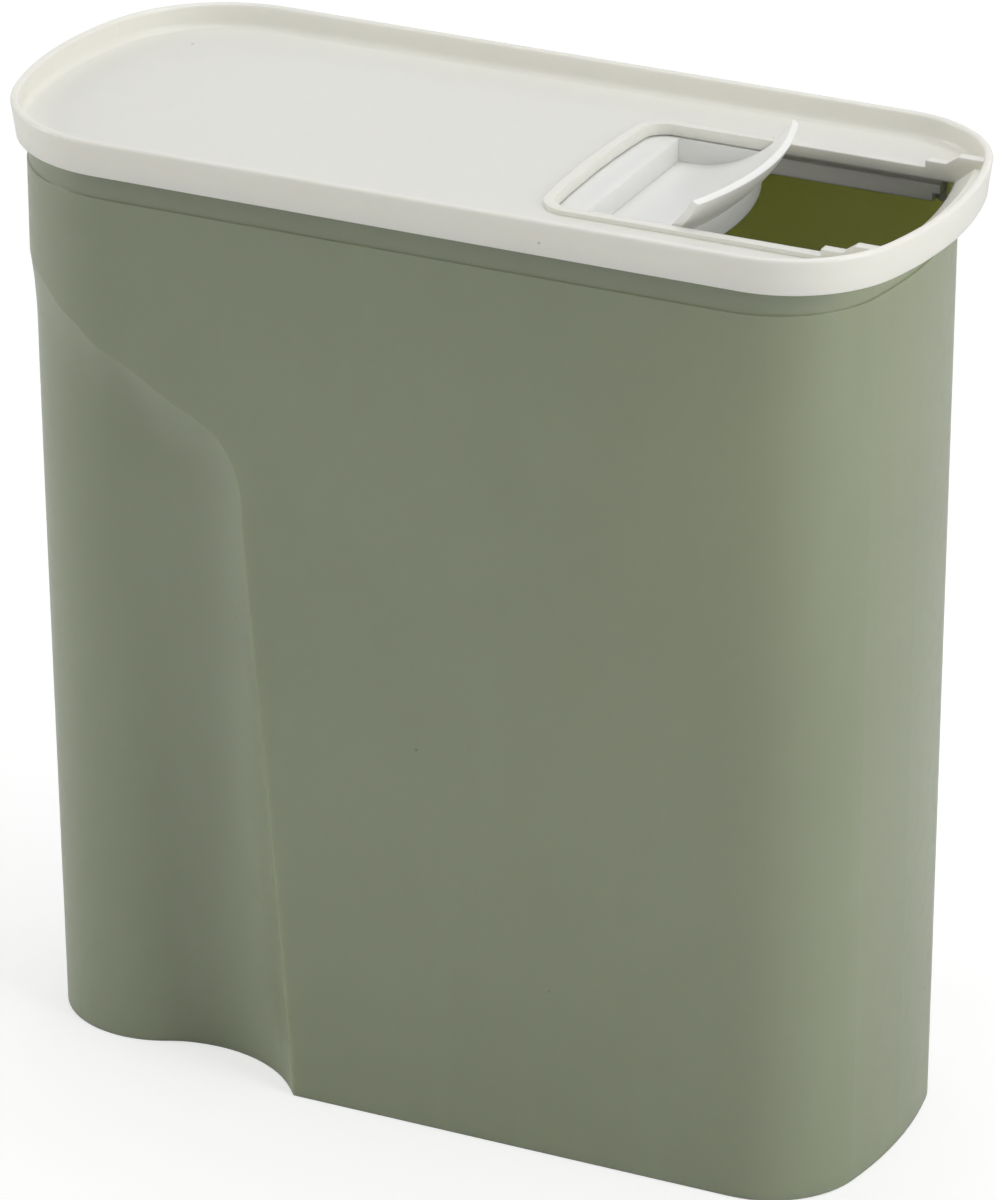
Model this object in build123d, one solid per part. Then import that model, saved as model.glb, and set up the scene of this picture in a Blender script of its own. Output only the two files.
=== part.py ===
from build123d import *
import math
import os

# A slim food keeper for pet food: a tall container with a waisted grip at its rear,
# a press-on tray lid, and a sliding cover that closes the pouring mouth in the lid.
# Origin: middle of the base. +Z up, +X towards the pouring end, millimetres.

# Overall
overall_height = 268.0
lid_length = 258.0
lid_width = 110.0

# Plan of the lid: corner radii, and the bow of each end
lid_front_corner = 33.3
lid_rear_corner = 39.5
lid_front_bow = 115.0
lid_rear_bow = 95.0

# Lid rim, panel and plug ring
rim_height = 9.8
rim_lean = 1.3
rim_inner_lean = 0.6
rim_wall = 2.2
rim_round = 0.9
panel_drop = 6.5
panel_wall = 1.8
panel_fillet = 1.8
plug_depth = 7.5
plug_wall = 1.6
plug_gap = 0.35
seat_gap = 0.3

# Container
container_wall = 1.8
floor_wall = 2.2
foot_recess = 1.4
foot_width = 5.0
side_overhang = 5.6
front_overhang = 9.1
rear_overhang = 3.2
mouth_front_corner = 29.5
mouth_front_bow = 130.0
mouth_rear_corner = 36.7
mouth_rear_bow = 92.0
side_draft = 3.6
front_draft = 3.1
rear_draft = -0.6
neck_drop = 8.0
neck_step = 0.4

# Waisted grip at the rear of the container
waist_set_in = 56.5
waist_radius = 37.0
waist_depth = 15.8
bulb_set_in = 29.6
bulb_radius = 28.2
bulb_depth = 9.8
tail_depth = 1.8
tail_top = 224.0
roof_rise = 24.0
roof_share = 0.36
lean_power = 1.25
bulb_turns = (22, 34, 46, 57, 68, 79, 90, 102, 113)
bulb_tops = (226.0, 225.5, 224.5, 223.0, 221.0, 216.5, 212.0, 208.6, 206.0)
waist_turns = (-18, -9, 0, 10, 20, 30, 40, 50)
waist_tops = (203.8, 200.3, 196.8, 194.9)
flare_turn = 4.0
flare_length = 24.0
grip_row_gap = 7.0
grip_points = 48
grip_end_z = 238.0

# Pouring mouth in the lid
well_half_width = 31.5
well_rear_x = 29.0
well_rear_bow = 300.0
well_corner = 6.0
well_rim_wall = 3.0
well_rim_height = 1.2
spout_drop = 3.5
spout_run = 5.3
spout_reach = 12.0
raised_end = 6.0
post_drop = 1.2
post_run = 6.0
post_reach = 9.0
post_set_back = 1.0

# Rails under the lid
rail_wall = 3.2
rail_depth = 6.7
rail_set_back = 1.7
rail_stop = 2.0
rail_front_gap = 8.5
rail_notch = 2.2
groove_depth = 1.7
slide_gap = 0.3

# Sliding cover, drawn back by opened_by from its closed place; it can go back_travel further
opened_by = 46.0
back_travel = 6.0
closed_gap = 4.4
plate_wall = 1.4
plate_length = 62.0
tray_length = 31.4
tray_depth = 7.8
tray_wall = 1.5
tray_side_gap = 0.8
tray_bow = 77.7
scoop_start = 12.2
tab_reach = 7.7
tab_rise = 10.5
tab_wall = 1.9
ear_set_back = 3.2

# Heights and half sizes that follow; over is how far a cutter runs past a face
rim_bottom_z = overall_height - rim_height
panel_top_z = overall_height - panel_drop
panel_under_z = panel_top_z - panel_wall
mouth_z = panel_under_z - seat_gap
neck_z = rim_bottom_z - neck_drop
floor_z = foot_recess + floor_wall
half_length = lid_length / 2
half_width = lid_width / 2
far = 2 * lid_length
over = 1.0
waist_x = waist_set_in - half_length + rear_overhang
bulb_x = bulb_set_in - half_length + rear_overhang
inner_front = half_length - front_overhang - container_wall
cover_x = inner_front - closed_gap - opened_by - tray_length
rail_rear_x = cover_x - plate_length - back_travel - slide_gap - rail_stop

os.makedirs("parts", exist_ok=True)


def plan_face(front, rear, side, front_corner, front_bow, rear_corner, rear_bow):
    """Closed plan: straight sides, round corners and bowed ends, all tangent."""

    def end(reach, corner, bow, sign):
        run = math.sqrt((bow - corner) ** 2 - (side - corner) ** 2)
        turn = math.asin((side - corner) / (bow - corner))
        middle = (turn + math.pi / 2) / 2
        corner_x = reach - bow + run
        bend_x = corner_x + corner * math.cos(middle)
        bend_y = side - corner + corner * math.sin(middle)
        join_x = reach - bow + bow * math.cos(turn)
        return (sign * corner_x, side), (sign * bend_x, bend_y), (sign * join_x, bow * math.sin(turn))

    def flip(point):
        return (point[0], -point[1])

    f_side, f_bend, f_join = end(front, front_corner, front_bow, 1)
    r_side, r_bend, r_join = end(rear, rear_corner, rear_bow, -1)
    edges = [
        Edge.make_line(r_side, f_side),
        Edge.make_three_point_arc(f_side, f_bend, f_join),
        Edge.make_three_point_arc(f_join, (front, 0), flip(f_join)),
        Edge.make_three_point_arc(flip(f_join), flip(f_bend), flip(f_side)),
        Edge.make_line(flip(f_side), flip(r_side)),
        Edge.make_three_point_arc(flip(r_side), flip(r_bend), flip(r_join)),
        Edge.make_three_point_arc(flip(r_join), (-rear, 0), r_join),
        Edge.make_three_point_arc(r_join, r_bend, r_side),
    ]
    return Face(Wire(edges))


def lid_plan(inset, z, lean):
    """Plan of the lid at a height, drawn in by an inset; its rim leans out to the top."""
    drawn_in = inset + lean * (overall_height - z) / rim_height
    plan = plan_face(
        half_length - drawn_in, half_length - drawn_in, half_width - drawn_in,
        lid_front_corner - drawn_in, lid_front_bow - drawn_in,
        lid_rear_corner - drawn_in, lid_rear_bow - drawn_in,
    )
    return Pos(0, 0, z) * plan


def body_sizes(z):
    """Front, rear and side reach of the container at a height, and what its draft takes off."""
    fall = (mouth_z - z) / mouth_z
    front = half_length - front_overhang - front_draft * fall
    rear = half_length - rear_overhang - rear_draft * fall
    side = half_width - side_overhang - side_draft * fall
    return front, rear, side, side_draft * fall


def body_plan(inset, z):
    """Plan of the container without its grip, at a height, drawn in by an inset."""
    front, rear, side, drawn_in = body_sizes(z)
    plan = plan_face(
        front - inset, rear - inset, side - inset,
        mouth_front_corner - drawn_in - inset, mouth_front_bow - inset,
        mouth_rear_corner - drawn_in - inset, mouth_rear_bow - inset,
    )
    return Pos(0, 0, z) * plan


def body_block(inset, bottom, top):
    """Solid of the container's plan between two heights."""
    return loft([body_plan(inset, bottom), body_plan(inset, top)], ruled=True)


def lid_block(inset, bottom, top, lean=rim_lean):
    """Solid of the lid's plan between two heights."""
    return loft([lid_plan(inset, bottom, lean), lid_plan(inset, top, lean)], ruled=True)


def sunk(depth, top, z):
    """Depth of the grip under the outer face: a leaning wall that ends in a round roof."""
    below = top - z
    roof = depth * roof_share
    if below <= 0:
        return roof * 2 * below / roof_rise
    if below < roof_rise:
        step = below / roof_rise
        return roof * step * (2 - step)
    lean = (below - roof_rise) / (top - roof_rise)
    return roof + (depth - roof) * lean ** lean_power


def corner_at(z):
    """Middle and radius of the container's rear corner at a height."""
    front, rear, side, drawn_in = body_sizes(z)
    corner = mouth_rear_corner - drawn_in
    run = math.sqrt((mouth_rear_bow - corner) ** 2 - (side - corner) ** 2)
    return mouth_rear_bow - rear - run, side - corner, corner


def come_out(depth, top, z):
    """How far the grip has come out at a height from its depth at the base."""
    return depth - sunk(depth, top, z)


def bulb_point(turn, top, inset, z):
    """A point of the bulb: it comes out from the rear corner's middle, or sideways past the crest."""
    side = body_sizes(0)[2]
    angle = math.radians(turn)
    middle_y = side - bulb_depth - bulb_radius
    reach = bulb_radius - inset
    x = bulb_x - reach * math.cos(angle)
    y = middle_y + reach * math.sin(angle)
    if turn > 90:
        depth = side - middle_y - bulb_radius * math.sin(angle)
        return x, y + body_sizes(z)[2] - side + come_out(depth, top, z)
    base_x, base_y, base_corner = corner_at(0)
    corner_x, corner_y, corner = corner_at(z)
    out_x = bulb_x - bulb_radius * math.cos(angle) - base_x
    out_y = middle_y + bulb_radius * math.sin(angle) - base_y
    depth = base_corner - math.hypot(out_x, out_y)
    away = math.hypot(x - base_x, y - base_y)
    scale = (away + corner - base_corner + come_out(depth, top, z)) / away
    return corner_x + (x - base_x) * scale, corner_y + (y - base_y) * scale


def waist_point(turn, top, inset, z):
    """A point of the waist; past its lowest line it all comes out together."""
    angle = math.radians(turn)
    reach = waist_radius + inset
    x = waist_x + reach * math.sin(angle)
    y = body_sizes(z)[2] - waist_depth + waist_radius - reach * math.cos(angle)
    depth = waist_depth
    if turn < 0:
        depth -= waist_radius * (1 - math.cos(angle))
    return x, y + come_out(depth, top, z)


def grip_line(inset, z):
    """Points along the grip at a height: over the tail, round the bulb, along the waist, out."""
    tail_x = sunk(tail_depth, tail_top, z) - body_sizes(z)[1] + inset
    bulb = [bulb_point(turn, top, inset, z) for turn, top in zip(bulb_turns, bulb_tops)]
    tops = waist_tops + (waist_tops[-1],) * (len(waist_turns) - len(waist_tops))
    waist = [waist_point(turn, top, inset, z) for turn, top in zip(waist_turns, tops)]
    flare = math.radians(waist_turns[-1] + flare_turn)
    out = []
    for step in (1, 2):
        run = step * flare_length
        out.append((waist[-1][0] + run * math.cos(flare), waist[-1][1] + run * math.sin(flare)))
    points = [(bulb[0][0], -bulb[0][1]), (tail_x, 0)] + bulb + waist + out
    path = Edge.make_spline([Vector(x, y, z) for x, y in points])
    return [path @ (index / grip_points) for index in range(grip_points + 1)]


def gripped(whole, inset, bottom):
    """The whole with the grip cut out of both its sides, from a height up."""
    rows = round((grip_end_z - bottom) / grip_row_gap)
    heights = [bottom + (grip_end_z - bottom) * row / rows for row in range(rows + 1)]
    lines = [grip_line(inset, z) for z in heights]
    surface = Face.make_surface_from_array_of_points(lines, tol=0.02, min_deg=3)
    cutter = Solid.extrude(surface, Vector(-half_length, half_length, 0))
    half = whole & Pos(0, far / 2, 0) * Box(2 * far, far, 2 * far)
    half -= cutter
    return half + mirror(half, Plane.XZ)


# Container: a leaning shell with a neck, an open mouth, the waisted grip and a foot ring
def make_container():
    shell = body_block(0, 0, neck_z) + body_block(neck_step, neck_z, mouth_z)
    cavity = body_block(container_wall, floor_z, mouth_z + over)
    foot = body_block(foot_width, -over, foot_recess)
    shell = gripped(shell, 0, -over)
    cavity = gripped(cavity, container_wall, floor_z - over)
    foot = gripped(foot, foot_width, -2 * over)
    return shell - cavity - foot


def block(x0, x1, y0, y1, z0, z1):
    """Plain box between two corners."""
    return Pos((x0 + x1) / 2, (y0 + y1) / 2, (z0 + z1) / 2) * Box(x1 - x0, y1 - y0, z1 - z0)


def front_inside(grow):
    """Front reach of the container's inner wall at the mouth, and its bow."""
    return half_length - front_overhang - container_wall + grow, mouth_front_bow - container_wall + grow


def well_plan(grow, z, run=0.0):
    """Plan of the pouring mouth at a height; its front follows the container's inner wall."""
    front, bow = front_inside(run)
    side = well_half_width + grow
    rear = well_rear_x - grow
    rear_drop = well_rear_bow - math.sqrt(well_rear_bow ** 2 - side ** 2)
    front_drop = bow - math.sqrt(bow ** 2 - side ** 2)
    corner_front = (front - front_drop, side)
    corner_rear = (rear + rear_drop, side)
    edges = [
        Edge.make_line(corner_rear, corner_front),
        Edge.make_three_point_arc(corner_front, (front, 0), (corner_front[0], -side)),
        Edge.make_line((corner_front[0], -side), (corner_rear[0], -side)),
        Edge.make_three_point_arc((corner_rear[0], -side), (rear, 0), corner_rear),
    ]
    plan = Face(Wire(edges))
    corners = plan.vertices().sort_by(Axis.X)[:2]
    return Pos(0, 0, z) * plan.fillet_2d(well_corner + grow, corners)


def well_block(grow, bottom, top, run=0.0):
    """Solid of the pouring mouth between two heights."""
    return extrude(well_plan(grow, bottom, run), top - bottom, (0, 0, 1))


# Lid: a panel in a leaning rim, a plug ring, the pouring mouth with its spout, and the rails
def make_lid():
    rim = lid_block(0, rim_bottom_z, overall_height)
    above = lid_block(rim_wall, panel_top_z, overall_height + over, rim_inner_lean)
    below = lid_block(rim_wall, rim_bottom_z - over, panel_under_z, rim_inner_lean)
    foot = above.edges().filter_by(lambda e: abs(e.center().Z - panel_top_z) < 0.01)
    above = fillet(foot, panel_fillet)
    lid = rim - above - below
    top_edges = lid.edges().filter_by(lambda e: abs(e.center().Z - overall_height) < 0.01)
    lid = fillet(top_edges, rim_round)

    # Plug ring that locates the lid in the container's mouth, open where the mouth pours
    plug_bottom = panel_under_z - plug_depth
    ring = body_block(container_wall + plug_gap, plug_bottom, mouth_z)
    ring += body_block(container_wall + plug_gap, mouth_z, panel_under_z + panel_wall / 2)
    ring -= body_block(container_wall + plug_gap + plug_wall, plug_bottom - over, panel_under_z)
    rail_out = well_half_width + rail_set_back + rail_wall
    ring -= block(well_rear_x, half_length, -rail_out, rail_out, plug_bottom - over, panel_under_z)
    lid += ring

    # Spout: a thick front in the rim, whose inner face slopes up and out to a ledge
    ledge_z = overall_height - spout_drop
    post_out = well_half_width + well_rim_wall
    front, bow = front_inside(0)
    spout = lid_block(rim_wall / 2, rim_bottom_z, ledge_z)
    spout &= block(front - spout_reach, half_length, -post_out, post_out, panel_under_z, ledge_z)
    lid += spout

    # Raised rim round the mouth, and a post at each end of the spout
    raised = well_block(well_rim_wall, panel_under_z, panel_top_z + well_rim_height)
    front_cut = front - raised_end
    raised -= block(front_cut, half_length, -half_width, half_width, panel_under_z - over, overall_height)
    lid += raised
    post_z = overall_height - post_drop
    start_x = front - post_reach
    end_x = half_length - rim_wall - post_set_back
    for side in (-1, 1):
        profile = Polyline(
            (start_x, panel_under_z), (start_x, panel_top_z + well_rim_height),
            (start_x + post_run, post_z), (end_x, post_z), (end_x, panel_under_z), close=True,
        )
        face = Plane.XZ * make_face(profile)
        y = side * (well_half_width + well_rim_wall / 2)
        post = Pos(0, y + well_rim_wall / 2, 0) * extrude(face, well_rim_wall)
        lid += post & lid_block(rim_wall / 2, panel_under_z, overall_height)

    # The opening itself: straight through, then flared to the ledge at the front
    flare = loft([well_plan(0, panel_under_z), well_plan(0, ledge_z, spout_run)], ruled=True)
    lid -= well_block(0, panel_under_z - over, panel_under_z)
    lid -= flare
    lid -= well_block(0, ledge_z, overall_height + over, spout_run)

    # Rails under the sides of the mouth, each with a groove for the cover's plate
    rail_in = well_half_width + rail_set_back
    rail_bottom = panel_under_z - rail_depth
    rail_front = front - rail_front_gap
    groove_z = panel_under_z - plate_wall - 2 * slide_gap
    for side in (-1, 1):
        inner, outer = sorted((side * rail_in, side * rail_out))
        rail = block(rail_rear_x, rail_front, inner, outer, rail_bottom, panel_under_z + panel_wall / 2)
        groove_in, groove_out = sorted((side * (rail_in - over), side * (rail_in + groove_depth)))
        rail -= block(rail_rear_x + rail_stop, far, groove_in, groove_out, groove_z, panel_under_z)
        notch_x = rail_front - rail_notch
        notch_z = rail_bottom + rail_notch
        rail -= block(notch_x, far, inner - over, outer + over, rail_bottom - over, notch_z)
        lid += rail
    return lid


# Sliding cover: a plate that runs in the rails, a tray at its front, and a scooped finger tab
def make_cover():
    plate_top = panel_under_z - slide_gap
    plate_bottom = plate_top - plate_wall
    plate_half = well_half_width + rail_set_back + groove_depth - slide_gap
    tray_half = well_half_width + rail_set_back - tray_side_gap
    floor_top = plate_top - tray_depth + tray_wall
    tray_bottom = plate_top - tray_depth
    axis_x = cover_x + tray_length - tray_bow

    def bowed(radius, bottom, top):
        return Pos(axis_x, 0, (bottom + top) / 2) * Cylinder(radius, top - bottom)

    ear_x = cover_x + tray_length - ear_set_back
    plate = block(cover_x - plate_length, ear_x, -plate_half, plate_half, plate_bottom, plate_top)
    tray = block(cover_x, far, -tray_half, tray_half, tray_bottom, plate_top)
    tray &= bowed(tray_bow, tray_bottom, plate_top)
    inner_half = tray_half - tray_wall
    hollow = block(cover_x + tray_wall, far, -inner_half, inner_half, floor_top, plate_top + over)

    # Scoop: a sheet that sweeps up from the floor to the tab, round the tray's own axis
    scoop_x = cover_x + scoop_start
    tip_x = cover_x + tray_length + tab_reach
    tip_z = plate_top + tab_rise
    run = tip_x - scoop_x
    rise = tip_z - floor_top
    round_z = (run ** 2 + rise ** 2) / (2 * rise)
    swing = math.atan2(run, round_z - rise)
    middle = swing / 2
    upper_mid = (scoop_x + round_z * math.sin(middle), floor_top + round_z * (1 - math.cos(middle)))
    under = round_z + tab_wall
    lower_tip = (scoop_x + under * math.sin(swing), floor_top + round_z - under * math.cos(swing))
    lower_mid = (scoop_x + under * math.sin(middle), floor_top + round_z - under * math.cos(middle))
    sheet = [
        Edge.make_line((axis_x, floor_top), (scoop_x, floor_top)),
        Edge.make_three_point_arc((scoop_x, floor_top), upper_mid, (tip_x, tip_z)),
        Edge.make_line((tip_x, tip_z), lower_tip),
        Edge.make_three_point_arc(lower_tip, lower_mid, (scoop_x, floor_top - tab_wall)),
        Edge.make_line((scoop_x, floor_top - tab_wall), (axis_x, floor_top - tab_wall)),
        Edge.make_line((axis_x, floor_top - tab_wall), (axis_x, floor_top)),
    ]
    sheet_face = Plane.XZ * Face(Wire(sheet))
    scoop = revolve(sheet_face, Axis((axis_x, 0, 0), (0, 0, 1)), 360)
    fill = [
        Edge.make_line((axis_x, floor_top), (scoop_x, floor_top)),
        Edge.make_three_point_arc((scoop_x, floor_top), upper_mid, (tip_x, tip_z)),
        Edge.make_line((tip_x, tip_z), (axis_x, tip_z)),
        Edge.make_line((axis_x, tip_z), (axis_x, floor_top)),
    ]
    finger_room = revolve(Plane.XZ * Face(Wire(fill)), Axis((axis_x, 0, 0), (0, 0, 1)), 360)
    pocket_x = scoop_x + tray_wall
    pocket = bowed(tray_bow - tray_wall, tray_bottom - over, plate_top)
    pocket -= bowed(pocket_x - axis_x, tray_bottom - 2 * over, plate_top + over)
    keep = block(cover_x + tray_wall, far, -inner_half, inner_half, tray_bottom - over, tip_z + over)
    cover = plate + tray
    cover -= hollow & finger_room
    cover -= (pocket & keep) - finger_room - scoop
    cover += scoop & block(cover_x + tray_wall, far, -inner_half, inner_half, tray_bottom, tip_z + over)
    return cover


nodes = {"container": make_container, "lid": make_lid, "sliding_cover": make_cover}
for name, make in nodes.items():
    solid = make()
    export_step(solid, f"parts/{name}.step")
    print(name, round(solid.volume), "mm3", solid.is_valid, len(solid.solids()))
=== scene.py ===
# %% [markdown]
# # A pet food keeper
# The object is three mouldings in satin plastic: a tall green container, a cream lid that
# presses onto it, and a whiter cover that slides in the lid. This first cell loads the
# three from the CAD frame. They could be modelled again here, but the solids already have
# the shapes of the mouldings, so this lesson keeps them and works on their finishes, the
# light and the camera.

# %% Load the frame
import bpy
import math
from mathutils import Matrix, Vector

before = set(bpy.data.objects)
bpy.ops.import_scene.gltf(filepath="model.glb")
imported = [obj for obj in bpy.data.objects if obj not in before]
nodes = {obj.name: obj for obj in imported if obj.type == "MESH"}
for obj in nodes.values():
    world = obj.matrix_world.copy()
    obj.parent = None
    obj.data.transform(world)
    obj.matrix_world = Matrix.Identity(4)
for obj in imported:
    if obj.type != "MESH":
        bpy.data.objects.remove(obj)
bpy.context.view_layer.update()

print("pieces:", sorted(nodes))

# %% [markdown]
# ## Writing a finish as a sum
# A finish is a small sum of patterns: a little mottling, a few specks, some rubbed marks.
# In the node editor that is a long row of Math nodes, which is slow to place and hard to
# read. Here a class stands for one socket, and the ordinary signs + - * add the Math
# nodes, so a finish reads like a sum.

# %% One socket, with signs for its sums
class Socket:
    """The output of a node. A sum on it adds a Math node to the same tree."""

    def __init__(self, board, output):
        self.board = board
        self.output = output

    def maths(self, operation, first, second):
        return self.board.node("ShaderNodeMath", {"operation": operation},
                               {0: first, 1: second})

    def __add__(self, other):
        return self.maths("ADD", self, other)

    def __radd__(self, other):
        return self.maths("ADD", other, self)

    def __sub__(self, other):
        return self.maths("SUBTRACT", self, other)

    def __rsub__(self, other):
        return self.maths("SUBTRACT", other, self)

    def __mul__(self, other):
        return self.maths("MULTIPLY", self, other)

    def __rmul__(self, other):
        return self.maths("MULTIPLY", other, self)


print("signs that add a node:", "+ - *")

# %% [markdown]
# Any other node comes from one method. It takes the node's type, its settings and what
# goes into its sockets, as a value or as another socket. The settings come first, because
# some of them change which sockets the node has. The same method serves the materials
# and, further down, the world behind the keeper.

# %% One method for every other node
class Board:
    """A tree of nodes, to which any node can be added."""

    def __init__(self, tree):
        self.tree = tree

    def node(self, kind, settings, sockets, output=0):
        made = self.tree.nodes.new(kind)
        for name, value in settings.items():
            setattr(made, name, value)
        for place, value in sockets.items():
            self.join(value, made.inputs[place])
        return Socket(self, made.outputs[output])

    def join(self, value, place):
        if isinstance(value, Socket):
            self.tree.links.new(value.output, place)
        else:
            place.default_value = value


class Finish(Board):
    """A material, its main shader and its point in space."""

    def __init__(self, name):
        self.material = bpy.data.materials.new(name)
        self.material.use_nodes = True
        super().__init__(self.material.node_tree)
        self.shader = self.tree.nodes["Principled BSDF"]
        self.point = self.node("ShaderNodeTexCoord", {}, {}, "Object")

    def feed(self, **values):
        for name, value in values.items():
            self.join(value, self.shader.inputs[name.replace("_", " ")])


print("a finish starts with a", "Principled BSDF")

# %% [markdown]
# ## Patterns of moulded plastic
# Moulded plastic is never one even colour. Pigment flows in faint clouds, the surface has
# an orange-peel ripple far finer than a millimetre deep, and a used piece picks up specks
# of dust and fine rubbed marks. Pictures of plastic could be wrapped round the pieces,
# but they would need seams. Noise that is read at a point in space has none, stays sharp
# from close by, and takes its sizes in metres. The helpers below serve all three plastics.

# %% Noise and a soft step
def noise(finish, size, detail, stretch=(1.0, 1.0, 1.0)):
    """Soft noise from 0 to 1 whose blobs are about size metres across.

    A stretch below 1 makes the blobs longer along that axis.
    """
    scaled = finish.node("ShaderNodeMapping", {}, {"Vector": finish.point, "Scale": stretch})
    return finish.node("ShaderNodeTexNoise", {},
                       {"Vector": scaled, "Scale": 1.0 / size, "Detail": detail})


def between(finish, value, low, high):
    """0 where value is below low, 1 where it is above high, and smooth between."""
    settings = {"interpolation_type": "SMOOTHSTEP"}
    sockets = {"Value": value, "From Min": low, "From Max": high}
    return finish.node("ShaderNodeMapRange", settings, sockets)


print("helpers:", "noise, between")

# %% Specks
full_share = 0.5
sharp_step = 0.01


def specks(finish, spacing, radius, share):
    """Round specks. A random draw picks a share of the cells, and each of those gets one."""
    grid = {"Vector": finish.point, "Scale": 1.0 / spacing}
    distance = finish.node("ShaderNodeTexVoronoi", {}, grid, "Distance")
    tint = finish.node("ShaderNodeTexVoronoi", {}, grid, "Color")
    draw = finish.node("ShaderNodeSeparateColor", {}, {"Color": tint}, "Red")
    chosen = between(finish, draw, low=1.0 - share, high=1.0 - share + sharp_step)
    rim = radius / spacing
    near = 1.0 - between(finish, distance, low=full_share * rim, high=rim)
    return near * chosen


print("a speck is at its full strength over", full_share, "of its radius")

# %% A colour, and a mix of two
# A Mix node has sockets for every kind of value, and these are the ones for colours.
mix_amount = 0
mix_first = 6
mix_second = 7
mix_colour = 2


def mixed(finish, amount, first, second):
    """The first colour where amount is 0 and the second where it is 1."""
    sockets = {mix_amount: amount, mix_first: first, mix_second: second}
    return finish.node("ShaderNodeMix", {"data_type": "RGBA"}, sockets, mix_colour)


def rgba(red, green, blue):
    """An opaque colour."""
    return (red, green, blue, 1.0)


pure_white = rgba(1.0, 1.0, 1.0)
print("pure white:", pure_white)

# %% [markdown]
# ## What the three plastics share
# All three pieces are moulded in the same way, so they share their clouds, flow marks,
# ripple and wear, and differ in colour and shine. One function makes such a plastic. The
# sharp edges of the solids are rounded by shading only, with a Bevel node, because a
# moulded edge catches a thin line of light. A Bevel modifier would give a true round, but
# it looks for edges between two faces, and a solid comes as loose triangles.

# %% Sizes and strengths of the patterns
cloud_size = 0.07
flow_size = 0.012
upright = (1.0, 1.0, 0.16)
ripple_size = 0.0022
rub_size = 0.005
lengthwise = (0.25, 1.0, 1.0)
speck_spacing = 0.013
speck_radius = 0.0006
speck_share = 0.16

flow_tint = 0.3
speck_tint = 0.55
rubbed_roughness = 0.06
clouded_roughness = 0.04
dusty_roughness = 0.2

ripple_height = 0.7
flow_height = 0.5
speck_height = 0.8
bump_depth = 0.0006
bump_strength = 0.05
edge_samples = 4
print("clouds, flow marks, ripple and rubbed marks in mm:",
      [round(1000 * size, 1) for size in (cloud_size, flow_size, ripple_size, rub_size)])

# %% A satin plastic
def moulded(name, base, dark, pale, speck, roughness, edge):
    """A satin plastic: base clouded with dark and pale, with specks and a fine ripple."""
    finish = Finish(name)
    clouds = noise(finish, cloud_size, detail=3.0)
    flow = noise(finish, flow_size, detail=4.0, stretch=upright)
    fine = noise(finish, ripple_size, detail=3.0)
    colour = mixed(finish, between(finish, clouds, low=0.3, high=0.75), base, dark)
    streaks = between(finish, flow, low=0.5, high=0.85) * flow_tint
    colour = mixed(finish, streaks, colour, pale)
    dust = specks(finish, speck_spacing, speck_radius, speck_share)
    colour = mixed(finish, dust * speck_tint, colour, speck)

    rubs = noise(finish, rub_size, detail=5.0, stretch=lengthwise)
    rubbed = between(finish, rubs, low=0.45, high=0.75)
    rough = (roughness + rubbed_roughness * rubbed + clouded_roughness * clouds
             + dusty_roughness * dust)

    soft_edge = finish.node("ShaderNodeBevel", {"samples": edge_samples}, {"Radius": edge})
    height = fine * ripple_height + flow * flow_height + dust * speck_height
    ripple = finish.node("ShaderNodeBump", {}, {
        "Height": height, "Strength": bump_strength, "Distance": bump_depth,
        "Normal": soft_edge})
    finish.feed(Base_Color=colour, Roughness=rough, Normal=ripple)
    return finish


speck_area = speck_spacing ** 3 / (speck_share * 2.0 * speck_radius)
print("one speck in about", round(10000 * speck_area), "square centimetres")

# %% [markdown]
# ## The green container
# The container is polypropylene with a grey-green pigment. Its colour varies by a few
# percent, its fine ripple is a bump, and the rubbed marks change only the roughness. It
# is satin, so it shows a broad soft reflection and no sharp one. Its inside is a deeper,
# yellower green than its outside, because the light there has been thrown from wall to
# wall or has come through one. A clear shader would show the lid's plug ring through the
# wall, as the real one doesn't, so the light is spread under the surface instead, and
# less far in blue.

# %% Green plastic
green_plastic = moulded("green_plastic", base=rgba(0.270, 0.303, 0.200),
                        dark=rgba(0.256, 0.288, 0.188), pale=rgba(0.290, 0.324, 0.220),
                        speck=rgba(0.120, 0.130, 0.085), roughness=0.29, edge=0.0006)
green_plastic.feed(Subsurface_Weight=0.55, Subsurface_Radius=(1.0, 1.0, 0.5),
                   Subsurface_Scale=0.012, Specular_IOR_Level=0.65)
print("green plastic nodes:", len(green_plastic.tree.nodes))

# %% [markdown]
# ## The cream lid
# The lid is moulded in a warm white, a touch smoother than the container. White plastic
# glows softly where its rim is thin. A brighter base colour could imitate that, but it
# would bleach the whole panel, so the lid spreads light under its surface too, over half
# the distance.

# %% Cream plastic
cream_plastic = moulded("white_plastic", base=rgba(0.800, 0.790, 0.725),
                        dark=rgba(0.786, 0.774, 0.705), pale=rgba(0.820, 0.812, 0.756),
                        speck=rgba(0.330, 0.300, 0.230), roughness=0.28, edge=0.0006)
cream_plastic.feed(Subsurface_Weight=0.4, Subsurface_Radius=(1.0, 0.9, 0.7),
                   Subsurface_Scale=0.006)
print("cream plastic nodes:", len(cream_plastic.tree.nodes))

# %% [markdown]
# ## The white cover
# The sliding cover is the smallest moulding and nearly pure white. It could share the
# lid's finish, but beside the real lid it is clearly the paler and cooler of the two, so
# it gets a finish of its own from the same function.

# %% Cover plastic
cover_plastic = moulded("cover_plastic", base=rgba(0.890, 0.892, 0.860),
                        dark=rgba(0.875, 0.876, 0.840), pale=rgba(0.905, 0.906, 0.880),
                        speck=rgba(0.400, 0.380, 0.320), roughness=0.26, edge=0.0005)
cover_plastic.feed(Subsurface_Weight=0.4, Subsurface_Radius=(1.0, 0.95, 0.85),
                   Subsurface_Scale=0.006)
print("cover plastic nodes:", len(cover_plastic.tree.nodes))

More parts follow.
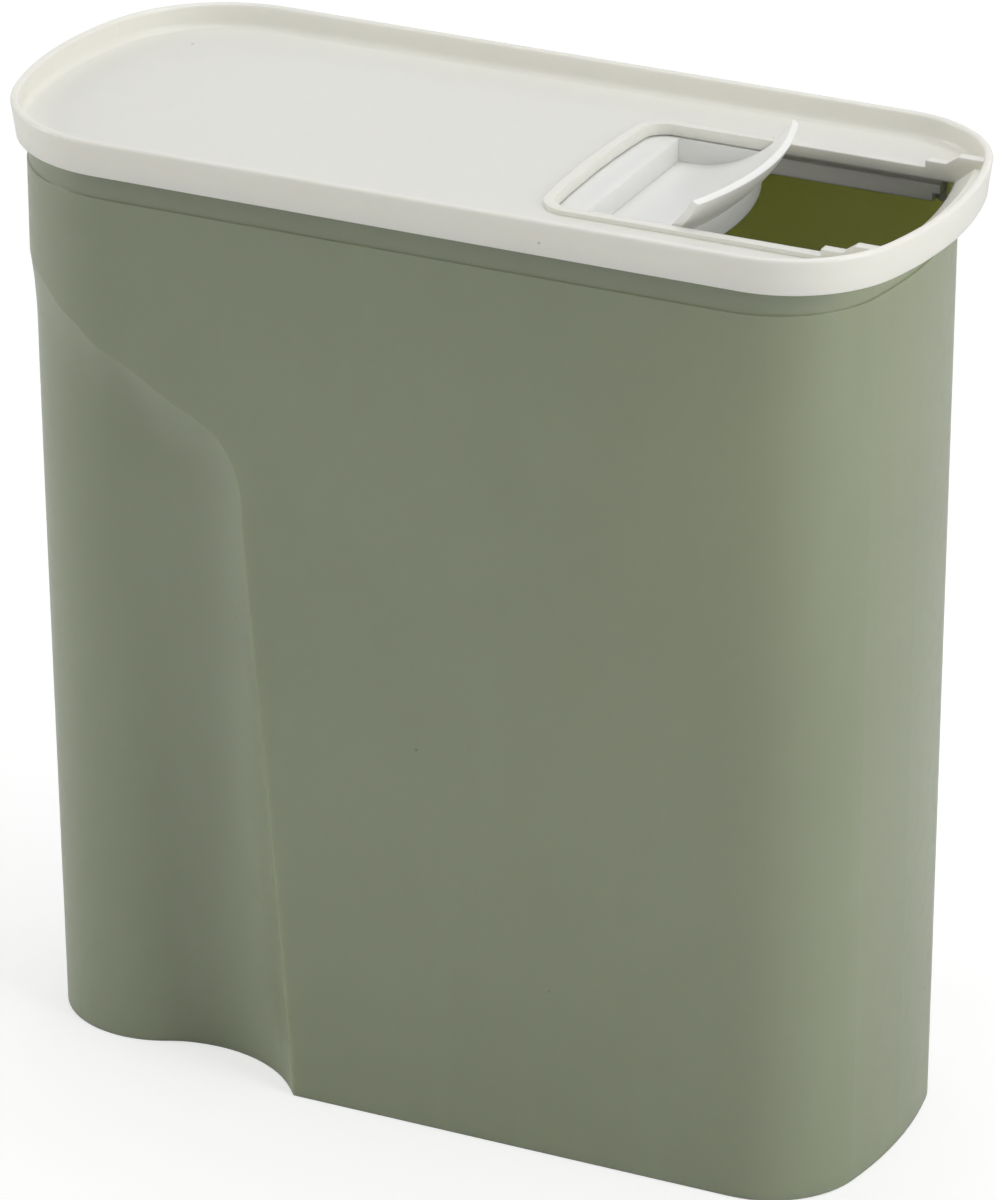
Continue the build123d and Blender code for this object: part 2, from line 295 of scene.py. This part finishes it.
# %% [markdown]
# ## Dressing the pieces
# Each piece is one moulding, so it needs only one material. Faces could be given slots
# one by one, but it is simpler to empty the piece's list of materials and put in the new
# one.

# %% Put the finishes on the pieces
finishes = {"container": green_plastic, "lid": cream_plastic, "sliding_cover": cover_plastic}
for name, finish in finishes.items():
    node = nodes[name]
    node.data.materials.clear()
    node.data.materials.append(finish.material)
    print(name, "faces:", len(node.data.polygons), "finish:", finish.material.name)

# %% [markdown]
# ## Floor
# The keeper stands on plain white paper and throws only a soft, faint shadow. Bright
# lamps could bleach a floor, but they would bleach the keeper too. So the camera sees the
# paper mixed with a white glow: partly near the keeper, where the shadow has to show, and
# wholly further off, where no edge may show. The paper lies a hair under the keeper, so
# that the two don't share a plane.

# %% White paper
paper_side = 12.0
paper_drop = 0.0002

bpy.ops.object.select_all(action="DESELECT")
bpy.ops.mesh.primitive_plane_add(size=paper_side, location=(0.0, 0.0, -paper_drop))
floor = bpy.context.object
floor.name = "floor"
bpy.ops.object.transform_apply(location=True, rotation=True, scale=True)
print("floor:", [round(side, 1) for side in floor.dimensions])

# %% The paper's glow
near_glow = 0.35
glow_starts = 0.5
glow_full = 1.7
glow_strength = 1.6

paper = Finish("pale_floor")
paper.feed(Base_Color=rgba(0.86, 0.86, 0.86), Roughness=0.9)
seen = paper.node("ShaderNodeLightPath", {}, {}, "Is Camera Ray")
glow = paper.node("ShaderNodeEmission", {}, {"Color": pure_white, "Strength": glow_strength})
plain = Socket(paper, paper.shader.outputs[0])
away = paper.node("ShaderNodeVectorMath", {"operation": "LENGTH"}, {0: paper.point}, "Value")
far = between(paper, away, low=glow_starts, high=glow_full)
share = seen * (near_glow + (1.0 - near_glow) * far)
both = paper.node("ShaderNodeMixShader", {}, {0: share, 1: plain, 2: glow})
paper.join(both, paper.tree.nodes["Material Output"].inputs["Surface"])
floor.data.materials.append(paper.material)
print("paper nodes:", len(paper.tree.nodes))

# %% [markdown]
# ## World
# Behind the keeper there is only white. A white world would also light the keeper flatly
# from all sides, so the world is dim where it gives light, and white where the camera, a
# reflection or a ray through a piece meets it.

# %% Dim light, white backdrop
dim_strength = 0.24

world = bpy.data.worlds.new("studio")
bpy.context.scene.world = world
world.use_nodes = True
sky = Board(world.node_tree)

dim = sky.tree.nodes["Background"]
sky.join(pure_white, dim.inputs["Color"])
sky.join(dim_strength, dim.inputs["Strength"])
white = sky.node("ShaderNodeBackground", {}, {"Color": pure_white, "Strength": 1.0})
straight = sky.node("ShaderNodeLightPath", {}, {}, "Is Camera Ray")
for kind in ("Is Glossy Ray", "Is Transmission Ray"):
    ray = sky.node("ShaderNodeLightPath", {}, {}, kind)
    straight = sky.node("ShaderNodeMath", {"operation": "MAXIMUM"}, {0: straight, 1: ray})
backdrop = sky.node("ShaderNodeMixShader", {},
                    {0: straight, 1: Socket(sky, dim.outputs[0]), 2: white})
sky.join(backdrop, sky.tree.nodes["World Output"].inputs["Surface"])
print("world nodes:", len(sky.tree.nodes))

# %% [markdown]
# ## Lamps
# The real keeper was lit softly from its front end, which is the paler one, and from
# above. A sun or a point lamp would draw hard edges on satin plastic, and large area
# lamps give every reflection a soft one. A weaker lamp at the rear end fills the grip.

# %% Three area lamps
middle = Vector((0.0, 0.0, 0.13))


def lamp(name, place, size, power):
    """A rectangular area lamp at place that faces the keeper's middle."""
    light = bpy.data.lights.new(name, "AREA")
    light.shape = "RECTANGLE"
    light.size, light.size_y = size
    light.energy = power
    lit = bpy.data.objects.new(name, light)
    bpy.context.scene.collection.objects.link(lit)
    lit.location = place
    lit.rotation_euler = (middle - Vector(place)).to_track_quat("-Z", "Y").to_euler()


lamp("key_from_the_front_end", place=(1.6, -0.35, 0.7), size=(0.9, 1.2), power=14.5)
lamp("top", place=(0.1, 0.2, 1.6), size=(1.3, 1.3), power=12.0)
lamp("fill_from_the_rear_end", place=(-1.5, -0.55, 0.6), size=(0.5, 0.9), power=9.0)

# %% [markdown]
# ## Camera
# A camera could be placed by eye, but then the lid's long edges would not run as they do
# in the photograph. Its angles and lens were worked out from the lid's outline and the
# container's sides there: it stands almost two metres away, 26 degrees round towards the
# front end, and looks down by 25 degrees. The lens is given in pixels of the photograph,
# so it is turned into millimetres of the sensor.

# %% Where the camera looks
azimuth = math.radians(26.01)
elevation = math.radians(24.82)
roll = math.radians(-0.319)

back = Vector((math.sin(azimuth) * math.cos(elevation),
               -math.cos(azimuth) * math.cos(elevation), math.sin(elevation)))
right = Vector((math.cos(azimuth), math.sin(azimuth), 0.0))
up = back.cross(right)
turned_right = math.cos(roll) * right + math.sin(roll) * up
turned_up = math.cos(roll) * up - math.sin(roll) * right
print("the camera looks along:", [round(-part, 3) for part in back])

# %% The camera and its lens
stand = Vector((0.7779, -1.5929, 0.9541))
focal_pixels = 7440.0
image_height = 1200.0
sensor_height = 36.0

lens = bpy.data.cameras.new("camera")
lens.sensor_fit = "VERTICAL"
lens.sensor_height = sensor_height
lens.lens = sensor_height * focal_pixels / image_height
camera = bpy.data.objects.new("camera", lens)
bpy.context.scene.collection.objects.link(camera)
place = Matrix((turned_right, turned_up, back)).transposed().to_4x4()
place.translation = stand
camera.matrix_world = place
bpy.context.scene.camera = camera
print("lens in mm:", round(lens.lens, 1))
print("metres from the keeper:", round((stand - middle).length, 2))

# %% [markdown]
# ## View
# A film-like view would grey the white paper, so the Standard view is used, which shows a
# colour as it is written.

# %% View
bpy.context.scene.view_settings.view_transform = "Standard"
